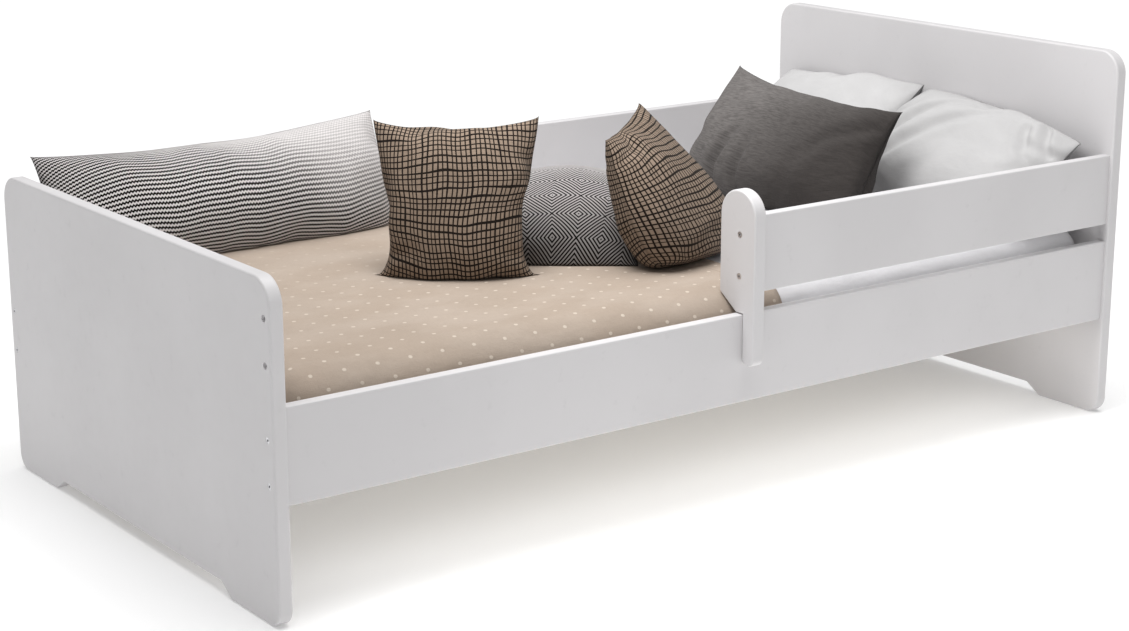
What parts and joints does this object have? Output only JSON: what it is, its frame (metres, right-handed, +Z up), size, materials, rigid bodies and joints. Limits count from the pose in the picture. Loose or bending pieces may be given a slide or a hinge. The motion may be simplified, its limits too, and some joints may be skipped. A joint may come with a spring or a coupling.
{
  "type": "toddler bed",
  "caption": "White panel toddler bed with head and foot boards, side rails, a part-length guard board on a round-topped post, slatted base, mattress, bedspread and loose cushions.",
  "frame": {"origin": "on the floor under the centre of the bed's box; the bed's own middle plane is at Y = +0.010 m because the guard post stands proud in front", "axes": "+Z up, +X from the footboard to the headboard, -Y towards the side with the guard board"},
  "size_m": [1.65, 0.87, 0.634],
  "materials": {
    "white_board": "satin white foil on board, softly rounded edges",
    "pine": "planed pine, unfinished",
    "webbing": "woven webbing tape",
    "zinc_steel": "bright zinc plated",
    "beech": "fluted beech, unfinished",
    "mattress_cover": "quilted white ticking",
    "white_cotton": "plain white cotton",
    "tan_cotton": "tan cotton with small cream dots",
    "striped_weave": "white weave with narrow black toothed stripes",
    "crosshatch_weave": "brown weave with an uneven black check of thin lines",
    "diamond_weave": "black and white woven concentric diamonds",
    "grey_linen": "dark grey slubbed weave"
  },
  "bodies": {
    "root": {"headboard": "white_board", "footboard": "white_board", "rail_front": "white_board", "rail_rear": "white_board", "guard_board": "white_board", "rear_board": "white_board", "guard_post": "white_board", "ledger_front": "pine", "ledger_rear": "pine", "slat_01": "pine", "slat_02": "pine", "slat_03": "pine", "slat_04": "pine", "slat_05": "pine", "slat_06": "pine", "slat_07": "pine", "slat_08": "pine", "slat_09": "pine", "slat_10": "pine", "slat_11": "pine", "slat_12": "pine", "slat_tape_front": "webbing", "slat_tape_rear": "webbing", "footboard_screws": "zinc_steel", "headboard_screws": "zinc_steel", "post_screws": "zinc_steel", "post_leg_screw": "zinc_steel", "ledger_screws_front": "zinc_steel", "ledger_screws_rear": "zinc_steel", "slat_screws": "zinc_steel", "rear_board_cam_bolts": "zinc_steel", "rear_board_cams": "zinc_steel", "rear_board_dowels": "beech", "mattress": "mattress_cover", "fitted_sheet": "white_cotton", "bedspread": "tan_cotton"},
    "striped_cushion_body": {"striped_cushion": "striped_weave"},
    "crosshatch_cushion_left_body": {"crosshatch_cushion_left": "crosshatch_weave"},
    "diamond_cushion_body": {"diamond_cushion": "diamond_weave"},
    "crosshatch_cushion_right_body": {"crosshatch_cushion_right": "crosshatch_weave"},
    "grey_cushion_body": {"grey_cushion": "grey_linen"},
    "white_pillow_rear_body": {"white_pillow_rear": "white_cotton"},
    "white_pillow_front_body": {"white_pillow_front": "white_cotton"}
  },
  "joints": [
    {"name": "striped_cushion_lift", "type": "slide", "parent": "root", "child": "striped_cushion_body", "axis": [0, 0, 1], "range_m": [0, 0.25]},
    {"name": "crosshatch_cushion_left_lift", "type": "slide", "parent": "root", "child": "crosshatch_cushion_left_body", "axis": [0, 0, 1], "range_m": [0, 0.25]},
    {"name": "diamond_cushion_lift", "type": "slide", "parent": "root", "child": "diamond_cushion_body", "axis": [0, 0.8, 0.6], "range_m": [0, 0.15]},
    {"name": "crosshatch_cushion_right_lift", "type": "slide", "parent": "root", "child": "crosshatch_cushion_right_body", "axis": [0, 0, 1], "range_m": [0, 0.25]},
    {"name": "grey_cushion_lift", "type": "slide", "parent": "root", "child": "grey_cushion_body", "axis": [0, 0, 1], "range_m": [0, 0.25]},
    {"name": "white_pillow_rear_lift", "type": "slide", "parent": "root", "child": "white_pillow_rear_body", "axis": [0, 0, 1], "range_m": [0, 0.25]},
    {"name": "white_pillow_front_lift", "type": "slide", "parent": "root", "child": "white_pillow_front_body", "axis": [0, 0, 1], "range_m": [0, 0.25]}
  ]
}
